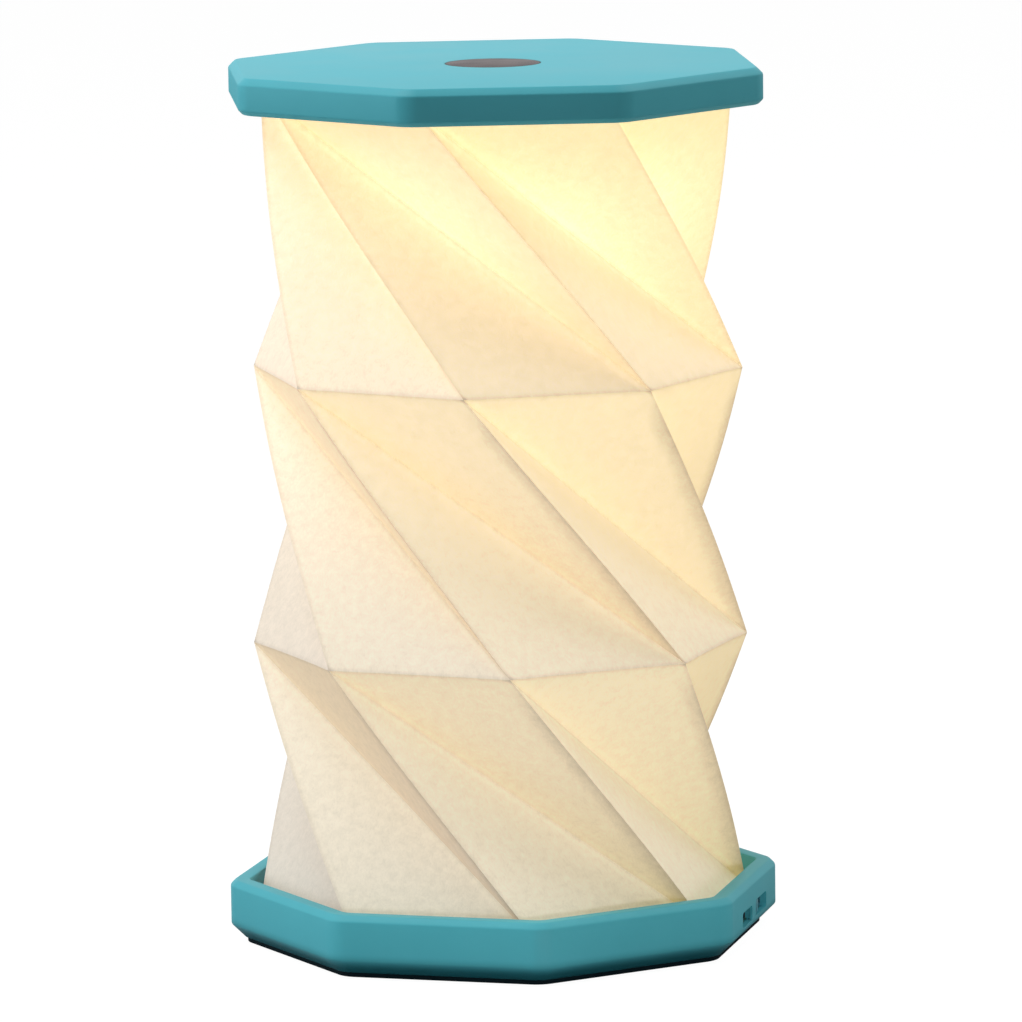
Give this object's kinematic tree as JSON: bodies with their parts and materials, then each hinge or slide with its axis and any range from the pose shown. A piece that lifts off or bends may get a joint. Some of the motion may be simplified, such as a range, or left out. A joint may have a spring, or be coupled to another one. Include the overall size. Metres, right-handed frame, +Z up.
{
  "type": "pleated paper table lamp",
  "caption": "Rechargeable table lamp: an octagonal twist-fold paper shade between a tray base and a lid, pressed down with a turn until the shade lies folded inside.",
  "frame": {"origin": "middle of the base's underside, on the surface that the lamp stands on", "axes": "+Z up along the shade's axis; +X out of the side of the base that holds the charging port and the switch, so +Y is the way the switch slides"},
  "size_m": [0.1402, 0.1402, 0.2226],
  "materials": {
    "teal_shell": "satin",
    "cover_plastic": "matte",
    "foot_rubber": "matte",
    "screw_steel": "satin",
    "foam_pad": "matte",
    "cell_foil": "satin",
    "lead_insulation": "satin",
    "header_nylon": "satin",
    "green_board": "gloss",
    "chip_black": "matte",
    "grommet_rubber": "matte",
    "socket_steel": "satin",
    "switch_case": "matte",
    "slider_plastic": "satin",
    "frame_card": "matte",
    "shade_paper": "matte",
    "disc_metal": "satin",
    "tape": "matte",
    "white_plate": "satin",
    "led_board_metal": "satin",
    "led_yellow": "satin",
    "milky_plastic": "satin"
  },
  "bodies": {
    "base": {"base_tray": "teal_shell", "bottom_cover": "cover_plastic", "rubber_foot_ring": "foot_rubber", "base_screws": "screw_steel", "battery_pad": "foam_pad", "battery_cell": "cell_foil", "battery_lead": "lead_insulation", "battery_header": "header_nylon", "lamp_header": "header_nylon", "main_board": "green_board", "board_screws": "screw_steel", "board_chips": "chip_black", "lead_grommet": "grommet_rubber", "usb_socket": "socket_steel", "switch_body": "switch_case", "shade_bottom_frame": "frame_card"},
    "shade": {"paper_shade": "shade_paper"},
    "lid": {"lid_cover": "teal_shell", "lid_disc": "disc_metal", "disc_tape": "tape", "lid_plate": "white_plate", "lid_screws": "screw_steel", "led_board": "led_board_metal", "led_chips": "led_yellow", "led_header": "header_nylon", "led_diffuser": "milky_plastic", "shade_top_frame": "frame_card"},
    "switch": {"switch_slider": "slider_plastic"}
  },
  "joints": [
    {"name": "lid_travel", "type": "slide", "parent": "base", "child": "shade", "axis": [0, 0, -1], "range_m": [0, 0.1969], "deforming": ["paper_shade"]},
    {"name": "lid_twist", "type": "hinge", "parent": "shade", "child": "lid", "pos_m": [0, 0, 0.2133], "axis": [0, 0, -1], "range_deg": [0, 109.5]},
    {"name": "switch_slide", "type": "slide", "parent": "base", "child": "switch", "axis": [0, 1, 0], "range_m": [0, 0.008]}
  ],
  "couplings": [
    {"joint": "lid_twist", "follows": "lid_travel", "rad_per_m": 9.7008}
  ]
}
